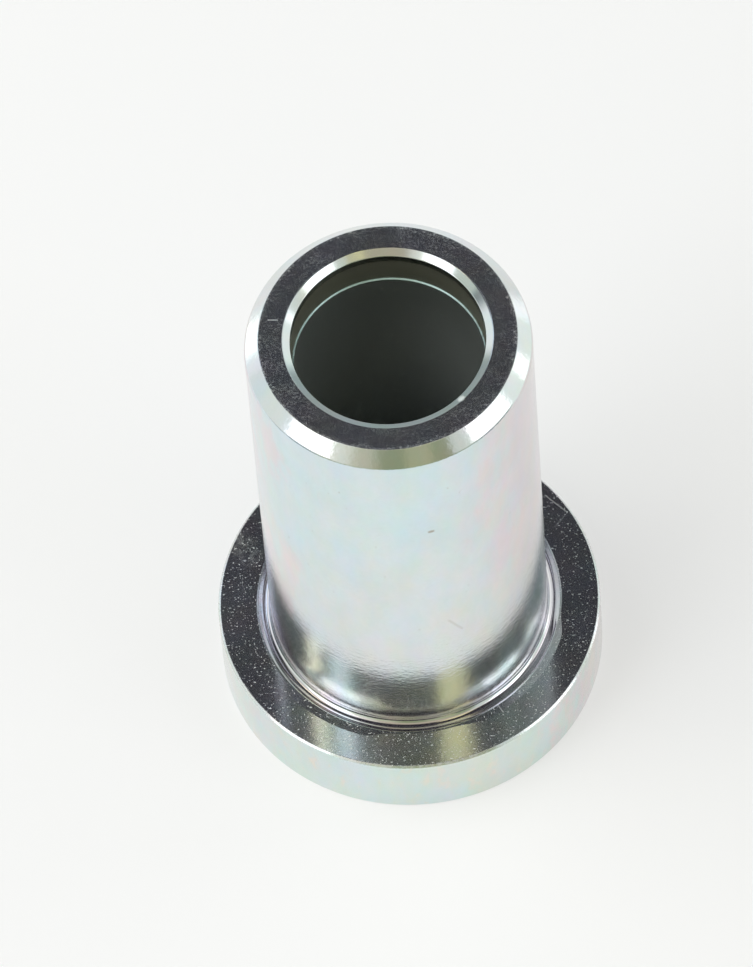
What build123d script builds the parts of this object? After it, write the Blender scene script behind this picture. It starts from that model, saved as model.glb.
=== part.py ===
from build123d import *
import os

# A flanged bushing: one turned and plated steel piece, a plain sleeve that stands on
# a round flange, with a bore right through it. All sizes are in millimetres.
# The origin is the centre of the flange's underside, and +Z runs up the axis.

# Along the axis
overall_length = 38.2
flange_thickness = 5.15
counterbore_depth = 2.9
counterbore_taper = 0.08  # the height of the cone at the counterbore's foot

# Across the axis
bore_diameter = 12.0
sleeve_wall = 3.0
flange_width = 3.4  # how far the flange stands out all round the sleeve
counterbore_step = 0.16  # what the counterbore adds to the bore's radius

# Edges and corners
end_chamfer_width = 0.9  # the sleeve's outer end edge, measured across the axis
end_chamfer_length = 1.0  # and along it
lead_in_width = 0.41  # the flatter chamfer at each mouth of the bore
lead_in_length = 0.2
edge_break = 0.14  # the flange's two rims
corner_radius = 0.45  # left by the tool's nose where the sleeve meets the flange
corner_relief = 0.12  # how far that corner is sunk below the flange's top
corner_run_out = 0.34  # the width of the slope that brings it back up to the top

# What follows from them
bore_radius = bore_diameter / 2
sleeve_radius = bore_radius + sleeve_wall
flange_radius = sleeve_radius + flange_width

counterbore_radius = bore_radius + counterbore_step
counterbore_floor = overall_length - counterbore_depth
mouth_radius = counterbore_radius + lead_in_width
foot_mouth_radius = bore_radius + lead_in_width

relief_floor = flange_thickness - corner_relief
relief_radius = sleeve_radius + corner_radius
relief_rim_radius = relief_radius + corner_run_out

os.makedirs("parts", exist_ok=True)

with BuildPart() as bushing:
    # The outside is half of its section, spun about the axis: up the flange's side,
    # in along its top, down into the relieved corner, up the sleeve and over its end.
    with BuildSketch(Plane.XZ) as outside:
        with BuildLine() as outside_line:
            flange = Polyline(
                (0, 0),
                (flange_radius - edge_break, 0),
                (flange_radius, edge_break),
                (flange_radius, flange_thickness - edge_break),
                (flange_radius - edge_break, flange_thickness),
                (relief_rim_radius, flange_thickness),
                (relief_radius, relief_floor),
            )
            corner = CenterArc(
                center=(relief_radius, relief_floor + corner_radius),
                radius=corner_radius,
                start_angle=180,
                arc_size=90,
            )
            sleeve = Polyline(
                (sleeve_radius, relief_floor + corner_radius),
                (sleeve_radius, overall_length - end_chamfer_length),
                (sleeve_radius - end_chamfer_width, overall_length),
                (0, overall_length),
                (0, 0),
            )
        make_face()
    revolve(axis=Axis.Z)

    # The bore is cut the same way. Its upper end is a shallow counterbore, and a small
    # cone leads from that down into the bore proper. Both mouths have a lead-in.
    with BuildSketch(Plane.XZ) as opening:
        with BuildLine() as opening_line:
            Polyline(
                (0, 0),
                (foot_mouth_radius, 0),
                (bore_radius, lead_in_length),
                (bore_radius, counterbore_floor - counterbore_taper),
                (counterbore_radius, counterbore_floor),
                (counterbore_radius, overall_length - lead_in_length),
                (mouth_radius, overall_length),
                (0, overall_length),
                (0, 0),
            )
        make_face()
    revolve(axis=Axis.Z, mode=Mode.SUBTRACT)

bushing.part.label = "bushing"
export_step(bushing.part, "parts/bushing.step")
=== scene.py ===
# %% [markdown]
# # A flanged bushing, turned from steel and plated with bright zinc
#
# The part is a short tube that stands on a round flange. A lathe made every face of it, so
# one half-section, spun about the axis, is the whole shape. What makes the real one
# convincing is its plating: a nearly white mirror, a little soft, with faint rainbow tints.
# A mirror shows its surroundings, so here the studio is as much work as the metal.
#
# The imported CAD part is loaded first. It is the fixed frame that all else is fitted to.

import math

import bpy
import numpy as np
from mathutils import Matrix, Vector


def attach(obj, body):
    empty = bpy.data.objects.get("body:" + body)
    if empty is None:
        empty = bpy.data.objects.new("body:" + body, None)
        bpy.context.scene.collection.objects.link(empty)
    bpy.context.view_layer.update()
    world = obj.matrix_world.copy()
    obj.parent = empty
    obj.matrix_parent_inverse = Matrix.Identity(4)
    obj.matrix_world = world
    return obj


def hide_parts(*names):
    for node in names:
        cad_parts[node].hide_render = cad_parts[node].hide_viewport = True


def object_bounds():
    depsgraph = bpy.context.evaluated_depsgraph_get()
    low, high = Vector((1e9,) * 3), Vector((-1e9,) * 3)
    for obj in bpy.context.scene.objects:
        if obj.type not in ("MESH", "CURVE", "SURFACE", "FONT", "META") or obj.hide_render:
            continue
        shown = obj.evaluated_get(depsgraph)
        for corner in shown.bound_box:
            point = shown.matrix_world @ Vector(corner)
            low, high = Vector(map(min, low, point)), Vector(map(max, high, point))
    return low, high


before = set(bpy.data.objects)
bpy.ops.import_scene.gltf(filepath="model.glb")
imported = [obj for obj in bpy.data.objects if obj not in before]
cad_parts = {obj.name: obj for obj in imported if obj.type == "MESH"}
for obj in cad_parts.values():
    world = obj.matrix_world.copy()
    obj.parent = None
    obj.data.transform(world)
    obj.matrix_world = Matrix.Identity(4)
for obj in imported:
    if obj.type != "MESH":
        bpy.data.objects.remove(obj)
cad_low, cad_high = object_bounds()
print("CAD box in metres:", [round(v, 4) for v in (*cad_low, *cad_high)])

# %% [markdown]
# ## Sizes
#
# These are the sizes of the turned part, in millimetres. The skin that is built below
# follows them, and strays by a few tenths of a millimetre only where use and the cutter
# leave their marks: its edges are rounded, the cone at the mouth is worn, and a burr
# stands round the corner groove. A check against the loaded frame says at once if the
# sizes ever disagree with it.

# %% Name the sizes
MM = 0.001

height = 38.2
flange_height = 5.15
flange_radius = 12.4
sleeve_radius = 9.0
bore_radius = 6.0

counterbore_radius = 6.16
counterbore_floor = 35.3
counterbore_taper = 0.08

chamfer_width = 0.9
chamfer_height = 1.0
lead_in_width = 0.41
lead_in_height = 0.2
edge_break = 0.14

corner_radius = 0.45
corner_relief = 0.12
corner_run_out = 0.34

reach = flange_radius * MM
box = (-reach, -reach, 0.0, reach, reach, height * MM)
apart = max(abs(a - b) for a, b in zip(box, (*cad_low, *cad_high)))
print("largest difference from the CAD box:", round(apart / MM, 4), "mm")

# %% [markdown]
# ## The half-section
#
# The section is a closed ring of points (distance from the axis, height). A cylinder with
# a Bevel modifier could give the same edges, but a section is how a lathe sees the part:
# every corner has its own radius, and the curve's own normals can be kept, so the mirror
# finish shows no facets and no smeared shading beside an edge.
#
# A sharp corner is never quite sharp. The cutter rounds it a little and the plating bath
# a little more, and where the sleeve's wall meets its end chamfer the edge is round by
# nearly half a millimetre. These roundings give each edge its thin bright line.

# %% Round the corners of a section
arc_points = 9


def soften(corners, steps=arc_points):
    """Rounds each corner (r, z, radius) of a closed section. The arc touches both sides at
    radius * tan(turn / 2) from the corner, and its normals swing from one side's to the
    other's. Gives the points and the outward normals, both as arrays of (r, z)."""
    place = np.array([c[:2] for c in corners], float)
    radius = np.array([c[2] for c in corners], float)
    ahead = np.roll(place, -1, axis=0) - place
    ahead /= np.linalg.norm(ahead, axis=1)[:, None]
    behind = np.roll(ahead, 1, axis=0)
    turn = np.arctan2(
        behind[:, 0] * ahead[:, 1] - behind[:, 1] * ahead[:, 0],
        (behind * ahead).sum(axis=1),
    )
    share = np.linspace(0, 1, steps)[None, :]
    heading = np.arctan2(behind[:, 1], behind[:, 0])[:, None] + turn[:, None] * share
    normals = np.stack([np.sin(heading), -np.cos(heading)], axis=-1)
    touch = place - behind * (radius * np.tan(np.abs(turn) / 2))[:, None]
    side = np.sign(turn)[:, None]
    centre = touch - normals[:, 0] * radius[:, None] * side
    points = centre[:, None] + normals * (radius[:, None] * side)[:, None]
    return points.reshape(-1, 2), normals.reshape(-1, 2)


print("each corner becomes an arc of", arc_points, "points")

# %% Draw the section
groove_lip = sleeve_radius + corner_radius + corner_run_out
mouth_radius = counterbore_radius + lead_in_width
worn_radius = bore_radius + 0.08
worn_depth = 0.33

fine_edge = 0.05
rim_edge = 0.06
burr_foot, burr_tip = 0.10, 0.06
sleeve_end_edge, end_ring_edge = 0.45, 0.08
mouth_edge, cone_foot_edge = 0.16, 0.14
step_edge, step_foot_edge = 0.04, 0.06


def half_section(relief, burr, burr_width, slope_foot, slope_round, cone=worn_depth):
    """The section as corners (r, z, radius). Its corner groove is sunk by relief below the
    flange's top. A burr stands up round it and falls off over burr_width, and the slope
    between them starts at the radius slope_foot, rounded by slope_round. The cone at the
    upper mouth is cone deep."""
    return [
        (bore_radius + lead_in_width, 0, fine_edge),
        (flange_radius - edge_break, 0, fine_edge),
        (flange_radius, edge_break, fine_edge),
        (flange_radius, flange_height - edge_break, rim_edge),
        (flange_radius - edge_break, flange_height, rim_edge),
        (groove_lip + burr_width, flange_height, burr_foot),
        (groove_lip, flange_height + burr, burr_tip),
        (slope_foot, flange_height - relief, slope_round),
        (sleeve_radius, flange_height - relief, corner_radius - 0.03),
        (sleeve_radius, height - chamfer_height, sleeve_end_edge),
        (sleeve_radius - chamfer_width, height, end_ring_edge),
        (mouth_radius, height, mouth_edge),
        (worn_radius, height - cone, cone_foot_edge),
        (worn_radius, counterbore_floor + 0.02, step_edge),
        (bore_radius, counterbore_floor - counterbore_taper, step_foot_edge),
        (bore_radius, lead_in_height, fine_edge),
    ]


slope_start = sleeve_radius + corner_radius + 0.06
plain = {"relief": corner_relief, "slope_foot": slope_start, "slope_round": 0.40}
small_burr = {"burr": 0.018, "burr_width": 0.11}
plain_groove = half_section(**plain, **small_burr)
raised_groove = half_section(**plain, burr=0.068, burr_width=0.60)
tight_groove = half_section(
    relief=0.07, burr=0.072, burr_width=0.50, slope_foot=groove_lip - 0.12, slope_round=0.04
)
shallow_cone = half_section(**plain, **small_burr, cone=0.26)
shapes = (plain_groove, raised_groove, tight_groove, shallow_cone)
sections = [soften(one) for one in shapes]
print("sections:", len(sections), "of", len(sections[0][0]), "points")

# %% [markdown]
# ## Spinning the section
#
# The surface is a grid: one parameter runs along the section, the other round the axis.
# Point (i, j) is section point i turned by angle j. The grid closes on itself both ways,
# so the mesh is watertight without any cap. Each vertex keeps the section's own normal.
#
# The corner groove isn't the same all round. The real one has hardly any burr at the sides
# and the back, a broad one on the left front, and on the right front it is flat with a
# steep rim. The cone at the mouth was cut a little off the axis too, so it is shallower
# in front. So there are four sections, and each angle takes a blend of them. Each of the
# last three differs from the first in one place only, so the differences simply add up:
# the first one's share is what the others leave of 1, and may fall below 0.

# %% Share the circle out among the sections
around = 480
angle = np.arange(around) * (2 * math.pi / around)
degrees = (np.degrees(angle) + 180) % 360 - 180


def smooth(value, low, high):
    """0 at low, 1 at high, 3 t squared - 2 t cubed in between. Low may be above high."""
    t = np.clip((value - low) / (high - low), 0, 1)
    return t * t * (3 - 2 * t)


raised = smooth(degrees, -60, -48) * smooth(degrees, -10, -22)
tight = smooth(degrees, 12, 28) * smooth(degrees, 80, 68)
shallow = smooth(np.abs(degrees), 80, 45)
shares = [1 - raised - tight - shallow, raised, tight, shallow]
print("the burr is raised at", int((raised > 0.5).sum()), "of", around, "angles")


# %% Spin the sections into the skin
def spin(sections, shares, name):
    """Turns sections through a full circle. At each angle the section is the sum of each
    one times its share there, as pairs (r, z), and its points go to
    x = r sin(angle), y = -r cos(angle), z = z, with angle 0 at the front. The faces join
    point i and i + 1 at angle j and j + 1, wrapping both ways, so they face outwards."""
    ring = np.stack([np.sin(angle), -np.cos(angle)], axis=-1)

    def turned(part):
        """Part 0 of a section is its points, and part 1 its normals."""
        pairs = sum(
            section[part][:, None] * share[None, :, None]
            for section, share in zip(sections, shares)
        )
        flat = pairs[..., :1] * ring[None]
        return np.concatenate([flat, pairs[..., 1:]], axis=-1).reshape(-1, 3)

    i = np.arange(len(sections[0][0]))[:, None] * around
    j = np.arange(around)[None, :]
    after_i = np.roll(i, -1, axis=0)
    after_j = np.roll(j, -1, axis=1)
    faces = np.stack([i + j, i + after_j, after_i + after_j, after_i + j], axis=-1)
    mesh = bpy.data.meshes.new(name)
    mesh.from_pydata(turned(0) * MM, [], faces.reshape(-1, 4).tolist())
    mesh.polygons.foreach_set("use_smooth", np.ones(faces.size // 4, bool))
    mesh.update()
    leaning = turned(1)
    leaning /= np.linalg.norm(leaning, axis=1)[:, None]
    mesh.normals_split_custom_set_from_vertices(leaning)
    return mesh


skin = bpy.data.objects.new("bushing_skin", spin(sections, shares, "bushing_skin"))
bpy.context.scene.collection.objects.link(skin)
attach(skin, "root")
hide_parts("bushing")
print("skin:", len(skin.data.polygons), "four-sided faces")

# %% [markdown]
# ## Shader maths as plain expressions
#
# A finish is a formula over the surface. Writing it as Python expressions keeps it
# readable, so one small class wraps a node's output and turns + - * / into Math nodes.
# Every other node comes from its one method, which sets the node up and then feeds it.

# %% A wrapper for node sockets
class Flow:
    """A value on its way through a node tree. Python's operators add Math nodes to it."""

    def __init__(self, tree, socket=None):
        self.tree, self.socket = tree, socket

    def node(self, kind, settings=None, values=None, out=0):
        """Adds a node: its settings first, then its sockets' values or links."""
        made = self.tree.nodes.new(kind)
        for name, value in (settings or {}).items():
            setattr(made, name, value)
        for name, value in (values or {}).items():
            if isinstance(value, Flow):
                self.tree.links.new(value.socket, made.inputs[name])
            else:
                made.inputs[name].default_value = value
        return Flow(self.tree, made.outputs[out] if len(made.outputs) else None)

    def maths(self, operation, *values):
        """One Math node, which takes these values in order."""
        inputs = dict(enumerate(values))
        return self.node("ShaderNodeMath", {"operation": operation}, inputs)

    def __add__(self, other):
        return self.maths("ADD", self, other)

    def __radd__(self, other):
        return self.maths("ADD", other, self)

    def __sub__(self, other):
        return self.maths("SUBTRACT", self, other)

    def __rsub__(self, other):
        return self.maths("SUBTRACT", other, self)

    def __mul__(self, other):
        return self.maths("MULTIPLY", self, other)

    def __rmul__(self, other):
        return self.maths("MULTIPLY", other, self)

    def __truediv__(self, other):
        return self.maths("DIVIDE", self, other)

    def __rtruediv__(self, other):
        return self.maths("DIVIDE", other, self)


print("shader wrapper ready")

# %% [markdown]
# A few shapes of formula come back all the time: a soft step, a band, one colour laid over
# another, and a cloudy pattern. Each gets a name here, so the finish below can be read.

# %% Helpers that add one node or two
def rise(value, low, high):
    """0 below low, 1 above high, and a smooth step between. Low may be above high."""
    return value.node(
        "ShaderNodeMapRange",
        {"interpolation_type": "SMOOTHSTEP"},
        {"Value": value, "From Min": low, "From Max": high},
    )


def band(value, low, high, soft):
    """1 between low and high, fading to 0 over soft beyond each of them."""
    return rise(value, low - soft, low) * rise(value, high + soft, high)


def blend(factor, under, over):
    """The colour over laid on the colour under, by factor."""
    pair = {
        0: factor,
        6: under if isinstance(under, Flow) else (*under, 1),
        7: over if isinstance(over, Flow) else (*over, 1),
    }
    return factor.node("ShaderNodeMix", {"data_type": "RGBA"}, pair, out=2)


def noise(where, scale, detail=2.0, roughness=0.5, out=0):
    """A cloudy pattern, about 0.5 on the whole. Scale is its cells per unit of where.
    Out 0 is one number, and out 1 three of them, as a colour."""
    values = {"Vector": where, "Scale": scale, "Detail": detail}
    return where.node("ShaderNodeTexNoise", None, {**values, "Roughness": roughness}, out)


def joined(x, y, z):
    """Three numbers as one vector."""
    return x.node("ShaderNodeCombineXYZ", None, {"X": x, "Y": y, "Z": z})


def vector_maths(operation, one, other):
    """One Vector Math node on two colours or vectors. Math would turn a colour grey."""
    return one.node("ShaderNodeVectorMath", {"operation": operation}, {0: one, 1: other})


print("helpers: soft step, band, blend, noise, joined, vector maths")

# %% [markdown]
# ## The zinc plating
#
# Bright zinc with a clear passivate is a metal all over: a cool, nearly white mirror. Its
# thin film gives it faint pink, blue and straw tints that drift over centimetres. On the
# turned faces the film is laid over fine tool marks. On the sleeve they run round the
# axis, and on the flange and the end the plating grain is coarser, with pinprick bright
# spots where it stands up. Down the bore the bath hardly reaches: it is duller and darker.
#
# A photo could be wrapped round it, but it would carry its own lights and end at a seam.
# So the finish is worked out from the place on the part. All patterns read Object
# coordinates, changed to millimetres, and stay put from every side.

# %% Coordinates on the part
zinc = bpy.data.materials.new("zinc_plate")
zinc.use_nodes = True
zinc.node_tree.nodes.clear()
metal = Flow(zinc.node_tree)

place = metal.node("ShaderNodeTexCoord", out="Object")
place = place.node(
    "ShaderNodeVectorMath", {"operation": "SCALE"}, {0: place, "Scale": 1 / MM}
)
x, y, z = (place.node("ShaderNodeSeparateXYZ", None, {0: place}, out=n) for n in "XYZ")
square = x * x + y * y
r = square.maths("SQRT", square)
across = x / r
along = y / r
print("coordinates in millimetres: x, y, z, r, and the direction (across, along)")

# %% [markdown]
# Masks for the faces come first. Each says, from the distance to the axis and the height,
# how much a point belongs to one face of the part.

# %% Masks for the flats and the walls
flange_top = band(z, flange_height - 0.05, flange_height + 0.08, 0.03) * band(
    r, groove_lip + 0.05, flange_radius - edge_break, 0.03
)
end_face = rise(z, height - 0.05, height - 0.02)
sleeve = rise(r, sleeve_radius - 0.2, sleeve_radius - 0.1)
wall = band(z, flange_height + corner_radius, height - chamfer_height, 0.1) * sleeve
flange_side = rise(r, flange_radius - 0.06, flange_radius - 0.02)
print("masks: flange top, end face, wall, flange side")

# %% Masks for the bore
mouth_top, mouth_foot = 37.8, 37.0
dull_from, dull_to = 36.0, 20.0

hollow = rise(r, mouth_radius - 0.1, mouth_radius - 0.3)
inside = rise(z, mouth_top, mouth_foot) * hollow
deep = rise(z, dull_from, dull_to) * hollow
step_foot = counterbore_floor - counterbore_taper
step_ring = band(z, step_foot, counterbore_floor + 0.02, 0.02)
step_ring = step_ring * hollow
print("masks: inside, deep, step ring")

# %% Masks for the edges
chamfer_foot = height - chamfer_height
rim_radius = flange_radius - edge_break
rim_height = flange_height - edge_break

end_chamfer = rise(z, chamfer_foot - 0.3, chamfer_foot) * (1 - end_face)
end_chamfer = end_chamfer * rise(r, mouth_radius + 0.2, mouth_radius + 0.5)
flange_rim = rise(r, rim_radius - 0.06, rim_radius + 0.02)
flange_rim = flange_rim * rise(z, rim_height - 0.06, rim_height)
print("masks: end chamfer, flange rim")

# %% [markdown]
# The film's tints are slow clouds. On the real part the sleeve is sea-blue towards its
# upper front, rosy on both sides and lilac low down, and the flange's side is green-blue
# with straw patches. Each tint has its place on the part, and a cloud breaks its edges.

# %% Clouds and tints
cloud_cells, fleck_cells = 0.22, 1.1  # per millimetre
drawn_out = 0.45  # along the axis, so that the clouds are tall

drift = joined(x, y, z * drawn_out)
cloud = noise(drift, cloud_cells, 3.0, 0.55) - 0.5
fleck = noise(drift, fleck_cells, 3.0, 0.6) - 0.5
front = 0 - along

sea_blue, rose = (0.665, 0.80, 0.825), (0.80, 0.70, 0.725)
straw, leaf, lilac = (0.77, 0.745, 0.66), (0.68, 0.755, 0.69), (0.70, 0.75, 0.79)
pale_zinc, green_blue, warm_zinc = (0.72, 0.755, 0.755), (0.65, 0.765, 0.75), (0.73, 0.73, 0.70)
film = blend(rise(cloud, -0.05, 0.18) * 0.6, pale_zinc, lilac)
print("tints: 8, over two clouds")

# %% Tints on the sleeve
upper = rise(z + cloud * 22, 14, 32) * rise(across + cloud * 2.2, 0.62, 0.10)
film = blend(upper * rise(front, -0.2, 0.5) * wall * 0.75, film, sea_blue)
rosy = rise(across + cloud * 1.6 + fleck * 0.5, 0.45, 0.80) * rise(z, 10, 20)
rosy_left = rise(across + cloud * 1.4 + fleck * 0.5, -0.72, -0.95)
both_sides = (rosy + rosy_left).maths("MINIMUM", rosy + rosy_left, 1)
film = blend(both_sides * wall * 0.7, film, rose)
print("sleeve: blue above, rosy at the sides")

# %% Tints on the flange's side
side_tint = blend(rise(cloud + fleck * 0.4, 0.10, -0.08), leaf, green_blue)
side_tint = blend(rise(fleck + cloud * 0.3, 0.08, 0.22) * 0.7, side_tint, straw)
side_tint = blend(rise(across + fleck, 0.6, 0.95) * 0.7, side_tint, rose)
side_tint = blend(rise(across + fleck, -0.7, -0.95) * 0.8, side_tint, warm_zinc)
film = blend(flange_side * 0.85, film, side_tint)
print("flange's side: green-blue with straw, rosy on the right")

# %% [markdown]
# Over these lie two finer things: a grey shimmer that follows the tool marks, and a drift
# of hue as on a soap bubble, where each of the three colours wanders by itself.

# %% Shimmer and drift of hue
shimmer_grey, shimmer_strength = (0.50, 0.52, 0.54), 0.06
middle = (0.5, 0.5, 0.5)
hue_reach, hue_cells = (0.20, 0.10, 0.19), 0.50

shimmer = noise(joined(across * 30.0, along * 30.0, z * 7.0), 1.0, 2.0, 0.7)
film = blend(rise(shimmer, 0.35, 0.65) * wall * shimmer_strength, film, shimmer_grey)
hues = noise(joined(x, y, z * 0.5), hue_cells, 3.0, 0.6, out=1)
hues = vector_maths("MULTIPLY", vector_maths("SUBTRACT", hues, middle), hue_reach)
film = vector_maths("ADD", film, hues)
print("hues drift by up to", max(hue_reach) / 2)

# %% [markdown]
# Where the bath hardly reached, the metal itself shows: grey down the bore, olive on the
# counterbore's wall, pale blue on the small step, and a little pink in the corner groove.

# %% Colours of the bore and the groove
bore_grey, olive = (0.50, 0.535, 0.525), (0.58, 0.57, 0.45)
step_blue, groove_pink = (0.62, 0.86, 0.88), (0.82, 0.74, 0.81)

film = blend(inside * 0.95, film, bore_grey)
counterbore = band(z, counterbore_floor + 0.1, height - worn_depth - 0.1, 0.08) * hollow
film = blend(counterbore * 0.9, film, olive)
film = blend(step_ring * 0.8, film, step_blue)
groove = rise(z, flange_height + 0.03, flange_height - 0.01) * band(
    r, sleeve_radius, groove_lip - 0.02, 0.04
)
film = blend(groove * 0.6, film, groove_pink)
print("bore, counterbore, step and groove coloured")

# %% [markdown]
# A part that has been handled carries a few small marks. Each is a straight scratch or a
# spot, drawn by the distance from a short line: on the flat faces in x and y, and on the
# sleeve in the length of arc and the height.

# %% A short line on the surface
arc = across.maths("ARCTAN2", across, front) * sleeve_radius


def scratch(u, v, start, end, width):
    """1 on the line from start to end in the plane (u, v), and 0 from width away from it.
    The nearest point is start + t (end - start), with t the projection kept in 0 to 1."""
    du, dv = end[0] - start[0], end[1] - start[1]
    length = du * du + dv * dv
    t = (u - start[0]) * (du / length) + (v - start[1]) * (dv / length)
    t = t.maths("MINIMUM", t.maths("MAXIMUM", t, 0), 1)
    off_u, off_v = u - start[0] - t * du, v - start[1] - t * dv
    away = t.maths("SQRT", off_u * off_u + off_v * off_v)
    return rise(away, width, width * 0.3)


print("the sleeve unrolls to", round(2 * math.pi * sleeve_radius, 1), "mm")

# %% Marks on the sleeve
speck_brown, line_grey, dot_grey = (0.32, 0.25, 0.17), (0.42, 0.40, 0.33), (0.40, 0.38, 0.34)

speck = scratch(arc, z, (1.66, 29.0), (1.80, 29.0), 0.21) * wall
hairline = scratch(arc, z, (2.45, 17.3), (3.28, 15.7), 0.14) * wall
film = blend(speck * 0.65, film, speck_brown)
film = blend(hairline * 0.24, film, line_grey)
dots = rise(noise(joined(x, y, z * 0.6), 3.1, 1.0), 0.75, 0.82) * wall
film = blend(dots * 0.35, film, dot_grey)
print("sleeve: a speck, a hairline and a few dots")

# %% Marks on the flats
long_cut = scratch(x, y, (9.39, 6.98), (10.72, 5.57), 0.07)
side_cut = scratch(x, y, (9.9, 4.6), (10.72, 5.57), 0.06)
front_cut = scratch(x, y, (5.15, -8.37), (5.45, -8.86), 0.06) * rise(z, 6.0, 5.5)
ring_cut = scratch(x, y, (-7.32, 1.95), (-6.76, 1.90), 0.06)
mouth_nick = scratch(x, y, (4.18, -4.85), (4.26, -4.76), 0.28) * rise(z, 37.6, 37.7)
cuts = long_cut * 0.4 + side_cut * 0.2 + front_cut * 0.35 + ring_cut * 0.45
cuts = cuts + mouth_nick * 0.95
smudge = scratch(x, y, (-10.8, 5.5), (-10.1, 4.3), 1.1) * flange_top
print("flats: 4 cuts, a nick in the mouth and a smudge")

# %% [markdown]
# The turned faces are not quite smooth. On the sleeve there are tool marks round the axis,
# and flat scales of zinc, a little wider than tall. The end ring has fine streaks that run
# outwards. A soft grain lies over everything, coarser on the flats and the edges. A noise
# that is squeezed one way and drawn out the other makes each of them.

# %% Tool marks, scales and grain
tool_mark_cells, grain_cells = 7.0, 3.4  # per millimetre

tool_marks = noise(joined(across * 0.8, along * 0.8, z), tool_mark_cells, 1.0, 0.6) - 0.5
grain = noise(place, grain_cells, 2.0, 0.6) - 0.5
streak = noise(joined(across * 34.0, along * 34.0, r * 1.3), 1.0, 2.0, 0.6) - 0.5
flats = end_face.maths("MAXIMUM", end_face, flange_top)
scales = noise(joined(across * 24.0, along * 24.0, z * 4.2), 1.0, 2.0, 0.65) - 0.5
print("patterns: tool marks, grain, streaks, scales")

# %% [markdown]
# Zinc crystals stand up as bright pinpricks on the flange's top: round ones, and short
# dashes that lie one way or the other. The end ring is mottled, most of all by its outer
# edge, where it has been rubbed. A little dust lies deep in the bore.

# %% Specks on the flange
speck_cells = 8.0

specks = rise(noise(place, speck_cells, 1.0, 0.6) + fleck * 0.20, 0.71, 0.75)
dashes = rise(noise(joined(x * 3.4, y * 12.0, z), 1.0, 1.0, 0.5), 0.70, 0.75)
ticks = rise(noise(joined(x * 11.0, y * 4.0, z), 1.0, 1.0, 0.5), 0.71, 0.76)
spots = specks.maths("MAXIMUM", specks, dashes)
spots = spots.maths("MAXIMUM", spots, ticks) * flange_top
print("flange: specks, dashes and ticks")

# %% Mottling and dust
pit_cells, dust_cells = 6.2, 3.6
dust_top, dust_full = 35.2, 34.8

ring_edge = sleeve_radius - chamfer_width
ring_wear = rise(r + grain * 1.1, ring_edge - 0.30, ring_edge + 0.04)
pits = noise(place, pit_cells, 2.0, 0.7)
mottle = rise(pits + fleck * 0.40, 0.46, 0.68) * end_face
dust = rise(noise(place, dust_cells, 0.0), 0.75, 0.79) * inside * rise(z, dust_top, dust_full)
print("mottling on the end ring, dust in the bore")

# %% [markdown]
# Where the film is broken it scatters light from all over the studio and mirrors less of
# it. That haze is how far the surface is from a clean mirror: 0 is all metal, and 1 none
# of it. Each face has a little of its own, and every mark adds some.

# %% Haze
haze = spots * 1.0 + flange_top * (0.022 + rise(cloud, -0.1, 0.2) * 0.02)
clumps = 0.05 + 0.075 * rise(cloud, -0.14, 0.18) + 0.18 * ring_wear
haze = haze + end_face * (0.028 + 0.05 * ring_wear) + mottle * clumps
haze = haze + inside * 0.06 + deep * 0.62 + dust * 0.4
haze = haze + step_ring * (0.12 + rise(grain, -0.1, 0.15) * 0.4)
haze = haze + cuts * rise(r, flange_radius, flange_radius - 0.1) * (1 - wall)
haze = haze + smudge * rise(grain, -0.15, 0.2) * 0.16
haze = haze + flange_rim * (0.12 + rise(grain, -0.1, 0.12) * 0.25)
haze = haze.maths("MINIMUM", haze, 1)
print("haze: the faces, the specks and the marks")

# %% [markdown]
# The bump's heights are true heights in millimetres, so they can be read as a machinist
# would: two thousandths for the tool marks, and about twelve for the scales of zinc.

# %% Bump and softness
tool_mark_height, scale_height, streak_height = 0.0020, 0.0118, 0.002
grain_height, flat_grain, chamfer_grain, rim_grain = 0.0010, 0.0022, 0.0050, 0.004

grain_reach = grain_height + flats * flat_grain + end_chamfer * chamfer_grain
bump_height = grain * (grain_reach + flange_rim * rim_grain)
bump_height = bump_height + tool_marks * wall * tool_mark_height + scales * wall * scale_height
bump_height = bump_height + streak * end_face * streak_height
bump = metal.node("ShaderNodeBump", None, {"Height": bump_height, "Distance": MM})

clean_softness = 0.13
satin = clean_softness + wall * 0.035 + inside * 0.25 + spots * 0.3 + flange_side * 0.06
print("bump heights in mm:", tool_mark_height, scale_height, streak_height, grain_height)

# %% Join them in one metal
shader = metal.node(
    "ShaderNodeBsdfPrincipled",
    None,
    {"Base Color": film, "Roughness": satin, "Metallic": 1 - haze, "Normal": bump},
)
metal.node("ShaderNodeOutputMaterial", None, {"Surface": shader})
skin.data.materials.append(zinc)
print("zinc plate:", len(zinc.node_tree.nodes), "nodes")

# %% [markdown]
# ## The floor
#
# The part stands on a sheet of smooth white paper. It has to stay plain, but paper is
# never quite even, so its tone drifts by about two parts in a hundred. A plane would do
# for it. A disc is used because its edge is the same from every side.

# %% Lay the floor
def disc(radius, rings, spokes, name):
    """A flat round grid: ring i has radius * (i / rings) squared, spoke j its angle, and
    z is 0. The middle ring is nearly a point, and one face closes it."""
    reach = radius * (np.arange(1, rings + 1) / rings) ** 2
    angle = np.arange(spokes) * (2 * math.pi / spokes)
    flat = np.stack([np.outer(reach, np.cos(angle)), np.outer(reach, np.sin(angle))], -1)
    points = np.concatenate([flat, np.zeros((rings, spokes, 1))], axis=-1)
    i = np.arange(rings - 1)[:, None] * spokes
    j = np.arange(spokes)[None, :]
    k = np.roll(j, -1, axis=1)
    faces = np.stack([i + j, i + spokes + j, i + spokes + k, i + k], axis=-1)
    mesh = bpy.data.meshes.new(name)
    middle = [list(range(spokes))]
    mesh.from_pydata(points.reshape(-1, 3), [], faces.reshape(-1, 4).tolist() + middle)
    mesh.update()
    return mesh


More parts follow.
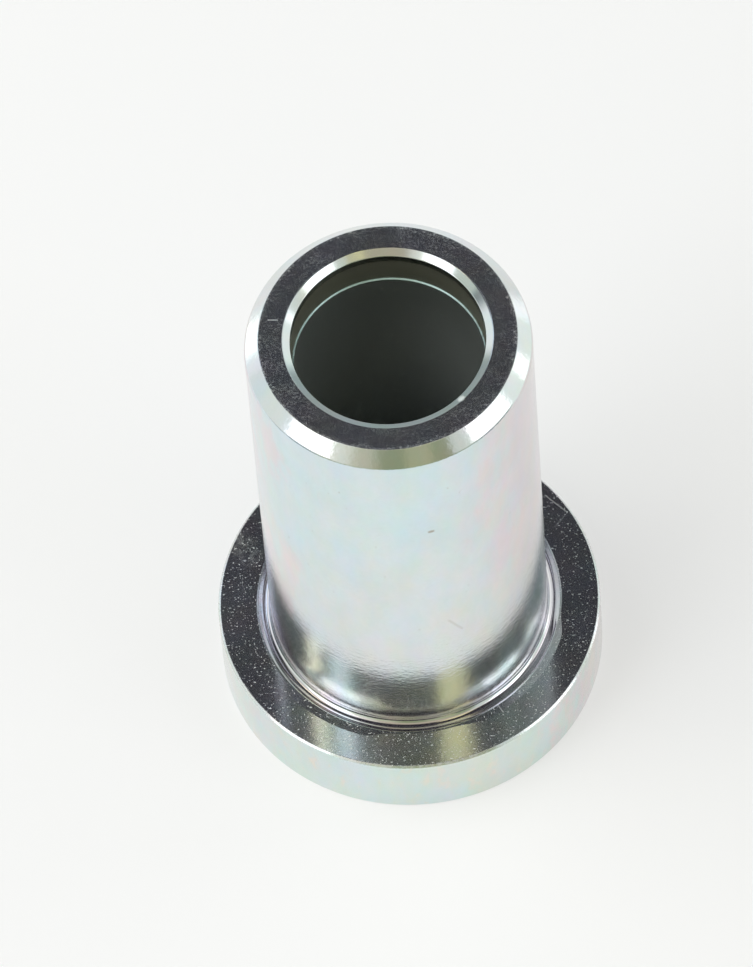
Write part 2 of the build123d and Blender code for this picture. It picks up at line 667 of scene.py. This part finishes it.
floor_radius, floor_rings, floor_spokes = 0.16, 24, 96
floor = bpy.data.objects.new("floor", disc(floor_radius, floor_rings, floor_spokes, "floor"))
bpy.context.scene.collection.objects.link(floor)
print("floor:", len(floor.data.polygons), "faces")

# %% [markdown]
# The paper should look white without more light on the part. So it glows a little, but
# only for rays from the camera and from mirrors: the metal mirrors the same white paper
# that the camera sees. Under the part it doesn't glow, or a bright line would show there.

# %% The paper
paper_dark, paper_light = (0.495, 0.495, 0.495), (0.505, 0.505, 0.505)
glow_grey, no_glow = (0.465, 0.465, 0.465), (0, 0, 0)
glow_ramp = 0.0006
paper_cells = 9.0

paper = bpy.data.materials.new("white_paper")
paper.use_nodes = True
paper.node_tree.nodes.clear()
sheet = Flow(paper.node_tree)
spot = sheet.node("ShaderNodeTexCoord", out="Object")
tone = rise(noise(spot, paper_cells, 1.0), 0.3, 0.7)
paper_colour = blend(tone, paper_dark, paper_light)
fx, fy = (spot.node("ShaderNodeSeparateXYZ", None, {0: spot}, out=n) for n in "XY")
from_axis = fx.maths("SQRT", fx * fx + fy * fy)
open_paper = rise(from_axis, flange_radius * MM - glow_ramp, flange_radius * MM)
glow_colour = blend(open_paper, no_glow, glow_grey)
seen = sheet.node("ShaderNodeLightPath", out="Is Camera Ray")
mirrored = sheet.node("ShaderNodeLightPath", out="Is Glossy Ray")
glow = blend(seen.maths("MAXIMUM", seen, mirrored), no_glow, glow_colour)
print("paper: glows at", glow_grey[0], "of white")

# %% Join the paper
paper_values = {
    "Base Color": paper_colour,
    "Roughness": 0.6,
    "Specular IOR Level": 0.1,
    "Emission Color": glow,
    "Emission Strength": 1.0,
}
paper_shader = sheet.node("ShaderNodeBsdfPrincipled", None, paper_values)
sheet.node("ShaderNodeOutputMaterial", None, {"Surface": paper_shader})
floor.data.materials.append(paper)
print("paper:", len(paper.node_tree.nodes), "nodes")

# %% [markdown]
# ## The studio
#
# The world is the studio that the metal mirrors. Real lamps and boards could hang round
# the part, but a world costs nothing to move and throws no stray shadow. It is painted by
# direction: the angle round the part, from the front and positive to the right, and the
# angle above the horizon, both in degrees. Two tall softboxes stand left and right, the
# wall between them is a dim warm grey, the ceiling is nearly black, and pale walls close
# it behind.

# %% Directions in the studio
world = bpy.data.worlds.new("studio")
world.use_nodes = True
world.node_tree.nodes.clear()
bpy.context.scene.world = world
# The metal finds the softboxes by reflection alone. Sampling them as lamps as well would
# double the render's time and change nothing that can be seen.
world.cycles.sampling_method = "NONE"
sky = Flow(world.node_tree)
towards = sky.node("ShaderNodeTexCoord", out="Generated")
wx, wy, wz = (
    towards.node("ShaderNodeSeparateXYZ", None, {0: towards}, out=n) for n in "XYZ"
)
turn = wx.maths("ARCTAN2", wx, 0 - wy) * (180 / math.pi)
lift = wz.maths("ARCSINE", wz) * (180 / math.pi)


def panel(studio, turns, lifts, colour, soft, lift_soft):
    """Hangs a panel of one colour in the studio, between these angles. Its edges fade over
    soft degrees round the part, and over lift_soft degrees up and down."""
    mask = band(turn, *turns, soft) * band(lift, *lifts, lift_soft)
    return blend(mask, studio, colour)


print("directions ready, in degrees")

# %% [markdown]
# The panels go up one over another: first the room, then what is dim, then the lights.

# %% What hangs in the studio
room, ceiling = (0.37, 0.42, 0.42), (0.034, 0.032, 0.040)
curtain, curtain_top = (0.33, 0.355, 0.225), (0.52, 0.48, 0.37)
white = (2.0, 2.0, 2.0)

# Each line is a name, the turns, the lifts, the colour and how soft its edges are.
walls = [
    ("right wall", (84, 130), (-20, 30), (0.98, 1.04, 0.99), 10, 6),
    ("its window", (98, 106), (-2, 34), (1.6, 1.6, 1.6), 3, 4),
    ("left wall", (-131, -112), (-20, 26), (0.98, 1.02, 1.02), 10, 6),
    ("left wall, nearer", (-106, -90), (-20, 24), (0.86, 0.90, 0.88), 8, 6),
    ("low gleam, left", (-140, -122), (-14, -6), (1.7, 1.7, 1.7), 6, 4),
    ("low gleam, right", (128, 137), (-14, -8), (1.25, 1.3, 1.3), 4, 3),
    ("board by the right box", (78, 98), (14, 46), (0.78, 0.82, 0.76), 4, 5),
    ("board by the left box", (-94, -72), (22, 46), (0.62, 0.68, 0.62), 5, 5),
    ("the same, lower", (-94, -72), (-4, 18), (0.90, 0.94, 0.88), 5, 5),
    ("curtain in front", (-46, 46), (-20, 30), curtain, 4, 6),
    ("its upper part", (-46, 46), (34, 55), curtain_top, 4, 4),
    ("its bright fold", (8, 20), (-20, 30), (0.46, 0.45, 0.29), 6, 6),
    ("its left folds", (-32, -20), (-20, 30), (0.58, 0.58, 0.44), 12, 6),
    ("its left edge", (-46, -36), (2, 55), (0.86, 0.88, 0.76), 12, 4),
    ("its right edge", (38, 52), (2, 50), (0.72, 0.76, 0.70), 5, 4),
]
high_boards = [
    ("high right, behind", (108, 148), (52, 68), (0.19, 0.21, 0.21), 8, 6),
    ("high, far behind", (150, 162), (52, 68), (0.42, 0.44, 0.45), 5, 5),
    ("high left, behind", (-144, -112), (54, 66), (0.075, 0.08, 0.08), 8, 4),
    ("high right", (76, 96), (54, 68), (0.13, 0.15, 0.13), 6, 5),
    ("bluish, far behind", (-164, -152), (54, 62), (0.66, 0.70, 0.80), 5, 4),
    ("blue light, left behind", (-148, -128), (36, 47), (1.1, 1.3, 1.5), 4, 4),
    ("blue light, right behind", (130, 140), (39, 48), (0.6, 0.85, 1.0), 4, 4),
    ("pale board, right behind", (98, 150), (34, 50), (0.80, 0.84, 0.82), 6, 4),
    ("its lit edge", (100, 122), (45, 52), (1.4, 1.4, 1.4), 4, 4),
]
lights = [
    ("straw light above", (20, 41), (54, 68), (0.94, 0.86, 0.48), 4, 3),
    ("warm light, high left", (-95, -86), (50, 64), (1.9, 1.78, 1.35), 3, 3),
    ("cool light, high left", (-74, -57), (52, 64), (0.98, 1.14, 1.16), 3, 3),
    ("left softbox", (-72, -45), (12, 50), white, 3, 5),
    ("right softbox", (51, 80), (12, 49), white, 3, 4),
]
print("panels:", len(walls), "walls,", len(high_boards), "high boards,", len(lights), "lights")

# %% Hang them
studio = blend(rise(lift, 26, 40), room, ceiling)
for _, *places_and_colour in walls + high_boards + lights:
    studio = panel(studio, *places_and_colour)

to_camera = sky.node("ShaderNodeLightPath", out="Is Camera Ray")
backdrop_grey = (0.93, 0.93, 0.93)
backdrop = blend(to_camera, studio, backdrop_grey)
light = sky.node("ShaderNodeBackground", None, {"Color": backdrop, "Strength": 1.0})
sky.node("ShaderNodeOutputWorld", None, {"Surface": light})
print("studio:", len(world.node_tree.nodes), "nodes")

# %% [markdown]
# One more lamp, wide and soft, stands on the left and halfway up. Mirrors show what hangs
# in the studio, so this lamp is kept out of them: all it does is to lay the part's soft
# shadow on the paper to the right, and to light what is not quite a mirror.

# %% Add the soft lamp on the left
lamp_width, lamp_power = 0.50, 1.35
lamp_turn, lamp_lift, lamp_reach = math.radians(-84), math.radians(54), 0.5

lamp = bpy.data.lights.new("soft_lamp", "AREA")
lamp.shape, lamp.size, lamp.energy = "DISK", lamp_width, lamp_power
lamp_stand = bpy.data.objects.new("soft_lamp", lamp)
bpy.context.scene.collection.objects.link(lamp_stand)
lamp_stand.visible_glossy = False
lamp_way = Vector(
    (
        math.sin(lamp_turn) * math.cos(lamp_lift),
        -math.cos(lamp_turn) * math.cos(lamp_lift),
        math.sin(lamp_lift),
    )
)
facing = lamp_way.to_track_quat("Z", "Y").to_matrix().to_4x4()
lamp_stand.matrix_world = Matrix.Translation(lamp_way * lamp_reach) @ facing
print("soft lamp:", lamp_power, "W,", lamp_reach, "m away")

# %% [markdown]
# ## The camera
#
# The photograph was taken from high in front with a long lens, tipped a little to the
# side. The place and the turns come from fitting a pinhole camera to the part's rims.

# %% Set up the lens
image_height = 967
focal_pixels = 10382.4
film_height = 36.0
near, far = 0.01, 20

camera = bpy.data.objects.new("camera", bpy.data.cameras.new("camera"))
bpy.context.scene.collection.objects.link(camera)
bpy.context.scene.camera = camera
camera.data.sensor_width = film_height
camera.data.lens = focal_pixels / image_height * film_height
camera.data.clip_start, camera.data.clip_end = near, far
print("lens:", round(camera.data.lens, 1), "mm on", film_height, "mm")

# %% Aim the camera
camera_place = (0, -0.33331, 0.59017)
yaw, pitch, roll = -0.0044, 1.0415, 0.0856

ahead = np.array(
    [math.sin(yaw) * math.cos(pitch), math.cos(yaw) * math.cos(pitch), -math.sin(pitch)]
)
level = np.array([math.cos(yaw), -math.sin(yaw), 0.0])
down = np.cross(ahead, level)
right = math.cos(roll) * level + math.sin(roll) * down
lower = -math.sin(roll) * level + math.cos(roll) * down
pose = np.eye(4)
pose[:3, 0], pose[:3, 1], pose[:3, 2] = right, -lower, -ahead
pose[:3, 3] = camera_place
camera.matrix_world = Matrix(pose.tolist())
print("camera:", [round(v, 4) for v in camera.matrix_world.translation])

# %% [markdown]
# Last come the plain view of colours and the two boxes: the CAD part's, and the dressed
# part's, which has to lie within it.

# %% Plain colours, and the end
bpy.context.scene.view_settings.view_transform = "Standard"
